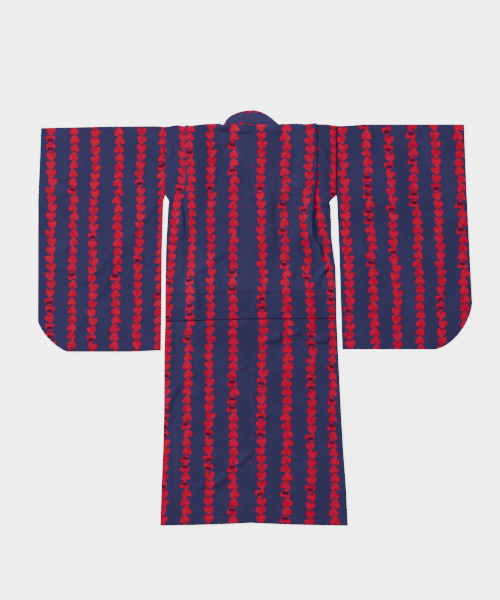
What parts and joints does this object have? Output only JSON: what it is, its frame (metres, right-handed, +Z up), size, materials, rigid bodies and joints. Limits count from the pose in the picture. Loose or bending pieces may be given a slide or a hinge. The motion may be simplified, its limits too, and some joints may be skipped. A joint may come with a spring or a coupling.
{
  "type": "child's yukata, laid flat and face down",
  "caption": "Child's cotton yukata laid flat with its back up: square sleeves with rounded corners, shoulder and waist tucks, overlapping fronts and a band collar.",
  "frame": {"origin": "middle of the laid-out garment, on the surface that it lies on", "axes": "+Z up, off the back of the garment; +Y towards the shoulders and collar; +X towards the right sleeve, seen from above"},
  "size_m": [0.9124, 0.872, 0.0125],
  "materials": {
    "printed_cotton": "matt plain-weave cotton, navy with chains of red hearts down its length",
    "collar_cotton": "the same printed cotton, folded double as a band"
  },
  "bodies": {
    "root": {"body_left": "printed_cotton", "body_right": "printed_cotton", "okumi_left": "printed_cotton", "okumi_right": "printed_cotton", "sleeve_left": "printed_cotton", "sleeve_right": "printed_cotton", "collar": "collar_cotton"}
  },
  "joints": []
}
